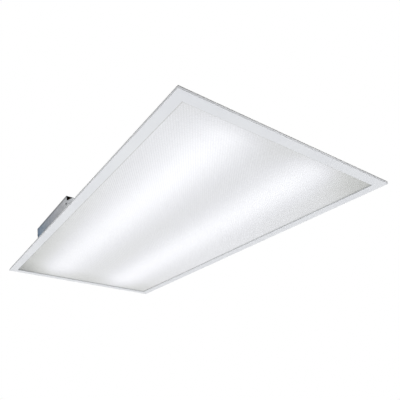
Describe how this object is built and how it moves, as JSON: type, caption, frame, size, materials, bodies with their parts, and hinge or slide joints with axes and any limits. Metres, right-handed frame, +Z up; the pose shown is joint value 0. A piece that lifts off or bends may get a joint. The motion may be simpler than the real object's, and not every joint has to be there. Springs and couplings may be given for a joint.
{
  "type": "recessed troffer light",
  "caption": "Recessed ceiling troffer light, long and shallow, with a white steel frame, a lit prismatic acrylic lens in a hinged door and a galvanised wiring compartment on the housing.",
  "frame": {"origin": "centre of the flat face of the door frame, the face that looks down into the room", "axes": "+X along the light towards its far end, +Y across it towards the side with the wiring compartment, +Z up into the ceiling"},
  "size_m": [1.213, 0.603, 0.0815],
  "materials": {
    "frame_white": "satin white powder coat",
    "housing_white": "white powder coat",
    "galvanised_steel": "zinc coated, dull",
    "zinc_fixings": "bright zinc plated",
    "spring_steel": "bare spring steel",
    "grid_clip_steel": "zinc plated",
    "lens_acrylic": "clear acrylic with a fine prism pattern, lit",
    "board_white": "white circuit board",
    "diode_lit": "yellowish diode package, lit",
    "white_nylon": "moulded nylon",
    "cable_white": "white sheath",
    "lead_black": "black sheath",
    "lead_green": "green sheath",
    "ground_green": "green passivated screw",
    "grommet_rubber": "moulded",
    "driver_metal": "white enamelled case",
    "splice_plastic": "orange push-in connector",
    "bumper_rubber": "soft pad"
  },
  "bodies": {
    "housing": {"board_screws": "zinc_fixings", "cable_clips": "white_nylon", "cable_grommet": "grommet_rubber", "catch_springs": "spring_steel", "compartment_cover": "galvanised_steel", "compartment_end_far": "galvanised_steel", "compartment_end_near": "galvanised_steel", "cover_screws": "zinc_fixings", "diodes_left": "diode_lit", "diodes_right": "diode_lit", "door_hinge_pins": "zinc_fixings", "driver_case": "driver_metal", "driver_plate": "driver_metal", "driver_screws": "zinc_fixings", "end_plate_far": "housing_white", "end_plate_near": "housing_white", "end_plate_rivets": "zinc_fixings", "feed_cable": "cable_white", "ground_lead": "lead_green", "ground_screw": "ground_green", "housing_body": "housing_white", "lid_hinge_leaf": "galvanised_steel", "lid_hinge_pin": "zinc_fixings", "light_boards_left": "board_white", "light_boards_right": "board_white", "line_lead": "lead_black", "neutral_lead": "cable_white", "rim_hinge_leaves": "zinc_fixings", "row_cable": "cable_white", "row_connectors": "white_nylon", "splice_connectors": "splice_plastic"},
    "lens_door": {"door_rail_left": "frame_white", "door_rail_right": "frame_white", "door_rail_near": "frame_white", "door_rail_far": "frame_white", "corner_keys": "zinc_fixings", "lens": "lens_acrylic", "lens_clips": "zinc_fixings", "door_bumpers": "bumper_rubber", "door_hinge_leaves": "zinc_fixings", "catch_blades": "spring_steel"},
    "access_lid": {"access_lid": "galvanised_steel", "lid_screw": "zinc_fixings"},
    "grid_clip_near_left": {"grid_clip_near_left": "grid_clip_steel", "grid_screw_near_left": "grid_clip_steel"},
    "grid_clip_far_left": {"grid_clip_far_left": "grid_clip_steel", "grid_screw_far_left": "grid_clip_steel"},
    "grid_clip_near_right": {"grid_clip_near_right": "grid_clip_steel", "grid_screw_near_right": "grid_clip_steel"},
    "grid_clip_far_right": {"grid_clip_far_right": "grid_clip_steel", "grid_screw_far_right": "grid_clip_steel"}
  },
  "joints": [
    {"name": "door_hinge", "type": "hinge", "parent": "housing", "child": "lens_door", "pos_m": [0, -0.2995, 0.0036], "axis": [-1, 0, 0], "range_deg": [0, 90]},
    {"name": "lid_hinge", "type": "hinge", "parent": "housing", "child": "access_lid", "pos_m": [0.101, 0.2355, 0.0796], "axis": [1, 0, 0], "range_deg": [0, 110]},
    {"name": "grid_clip_near_left_turn", "type": "hinge", "parent": "housing", "child": "grid_clip_near_left", "pos_m": [-0.4, 0.2875, 0.00715], "axis": [0, 0, 1], "range_deg": [0, 90]},
    {"name": "grid_clip_far_left_turn", "type": "hinge", "parent": "housing", "child": "grid_clip_far_left", "pos_m": [0.4, 0.2875, 0.00715], "axis": [0, 0, 1], "range_deg": [0, 90]},
    {"name": "grid_clip_near_right_turn", "type": "hinge", "parent": "housing", "child": "grid_clip_near_right", "pos_m": [-0.4, -0.2875, 0.00715], "axis": [0, 0, 1], "range_deg": [0, 90]},
    {"name": "grid_clip_far_right_turn", "type": "hinge", "parent": "housing", "child": "grid_clip_far_right", "pos_m": [0.4, -0.2875, 0.00715], "axis": [0, 0, 1], "range_deg": [0, 90]}
  ]
}
